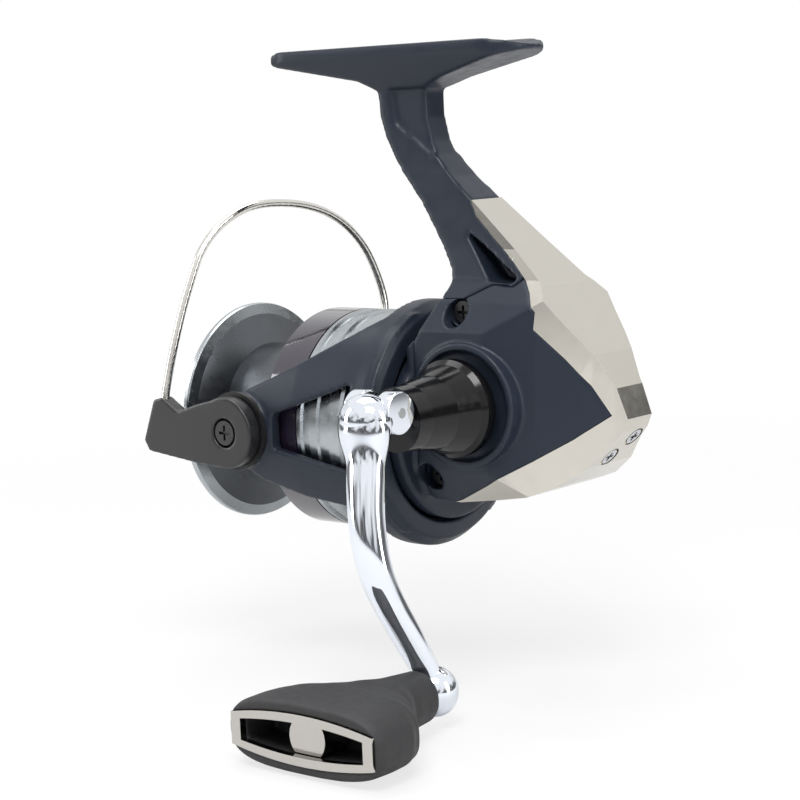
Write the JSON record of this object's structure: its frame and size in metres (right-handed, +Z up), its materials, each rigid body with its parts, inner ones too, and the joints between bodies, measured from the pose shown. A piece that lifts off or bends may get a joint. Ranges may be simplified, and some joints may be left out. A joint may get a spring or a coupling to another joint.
{
  "type": "spinning reel",
  "caption": "Open-face reel with an underslung foot, folding crank, spinning rotor with a wire bail, and a spool with a front drag.",
  "frame": {"origin": "centre of the foot's top face, where it meets the rod's seat", "axes": "+X along the spool axis towards the spool's front, +Y towards the handle, +Z up through the foot"},
  "size_m": [0.1067, 0.1108, 0.1304],
  "materials": {
    "navy_paint": "satin navy",
    "cover_paint": "satin navy, a shade lighter",
    "guard_chrome": "polished, slightly warm",
    "black_screw": "black oxide",
    "steel": "turned steel",
    "brass": "machined",
    "gear_zinc": "cast alloy, satin",
    "black_gloss": "high gloss",
    "handle_chrome": "polished",
    "rubber_grip": "matte soft grip",
    "bezel_nickel": "polished nickel",
    "washer_black": "matte",
    "lever_black": "satin moulded",
    "wire_steel": "polished wire",
    "spool_grey": "anodised grey",
    "lip_bright": "bright turned",
    "skirt_black": "gloss black with a violet tint",
    "felt": "oiled felt",
    "knob_grey": "satin"
  },
  "bodies": {
    "root": {"body_frame": "navy_paint", "side_cover": "cover_paint", "rear_guard": "guard_chrome", "cover_screws": "black_screw", "guard_screws": "steel", "drive_bearings": "steel", "pinion_bearing": "steel", "roller_clutch": "brass", "clutch_retainer": "steel", "retainer_screws": "steel", "slider_guide": "steel"},
    "handle": {"handle_shaft": "steel", "drive_gear": "gear_zinc", "handle_collar": "black_gloss", "handle_cap": "navy_paint"},
    "crank": {"handle_arm": "handle_chrome", "fold_pin": "steel", "knob_post": "steel", "post_cap": "bezel_nickel"},
    "knob": {"knob_grip": "rubber_grip", "knob_bezel": "bezel_nickel"},
    "oscillator": {"oscillating_gear": "brass"},
    "shaft": {"main_shaft": "steel", "slider_block": "gear_zinc", "slider_screw": "steel", "spool_stop": "brass"},
    "rotor": {"rotor": "navy_paint", "pinion_gear": "brass", "clutch_sleeve": "steel", "rotor_nut": "steel", "pivot_washers": "washer_black", "pivot_screws": "black_screw", "bail_spring": "steel", "spring_cover": "navy_paint", "spring_cover_screw": "black_screw"},
    "bail": {"bail_lever": "lever_black", "bail_arm": "lever_black", "bail_wire": "wire_steel", "wire_cap": "bezel_nickel", "roller_screw": "steel"},
    "roller": {"line_roller": "brass"},
    "spool": {"spool": "spool_grey", "lip_ring": "lip_bright", "skirt_band": "skirt_black", "skirt_rings": "lip_bright", "spool_bushes": "brass", "felt_washers": "felt", "metal_washers": "steel", "washer_clip": "steel"},
    "press": {"press_plate": "steel"},
    "drag": {"drag_knob": "knob_grey", "knob_spring": "steel"}
  },
  "joints": [
    {"name": "handle_turn", "type": "hinge", "parent": "root", "child": "handle", "pos_m": [-0.025, 0, -0.0725], "axis": [0, 1, 0], "continuous": true},
    {"name": "handle_fold", "type": "hinge", "parent": "handle", "child": "crank", "pos_m": [-0.025, 0.042, -0.0702], "axis": [1, 0, 0], "range_deg": [0, 90]},
    {"name": "knob_spin", "type": "hinge", "parent": "crank", "child": "knob", "pos_m": [-0.03448, 0.06, -0.12363], "axis": [0, 1, 0], "continuous": true},
    {"name": "oscillation_turn", "type": "hinge", "parent": "root", "child": "oscillator", "pos_m": [-0.038, 0, -0.0755], "axis": [0, 1, 0], "continuous": true},
    {"name": "rotor_spin", "type": "hinge", "parent": "root", "child": "rotor", "pos_m": [0, 0, -0.079], "axis": [1, 0, 0], "continuous": true},
    {"name": "spool_stroke", "type": "slide", "parent": "root", "child": "shaft", "axis": [1, 0, 0], "range_m": [-0.006, 0.006]},
    {"name": "drag_slip", "type": "hinge", "parent": "shaft", "child": "spool", "pos_m": [0, 0, -0.079], "axis": [1, 0, 0], "continuous": true},
    {"name": "plate_travel", "type": "slide", "parent": "shaft", "child": "press", "axis": [1, 0, 0], "range_m": [0, 0.0015]},
    {"name": "drag_turn", "type": "hinge", "parent": "press", "child": "drag", "pos_m": [0, 0, -0.079], "axis": [1, 0, 0], "range_deg": [0, 720]},
    {"name": "bail_swing", "type": "hinge", "parent": "rotor", "child": "bail", "pos_m": [0.0265, 0, -0.079], "axis": [0, 1, 0], "range_deg": [0, 110]},
    {"name": "roller_spin", "type": "hinge", "parent": "bail", "child": "roller", "pos_m": [0.0307, -0.028, -0.0675], "axis": [0, 1, 0], "continuous": true}
  ],
  "couplings": [
    {"joint": "oscillation_turn", "follows": "handle_turn", "ratio": -0.65385},
    {"joint": "rotor_spin", "follows": "handle_turn", "ratio": 4.75},
    {"joint": "plate_travel", "follows": "drag_turn", "m_per_rad": 0.00011937}
  ]
}
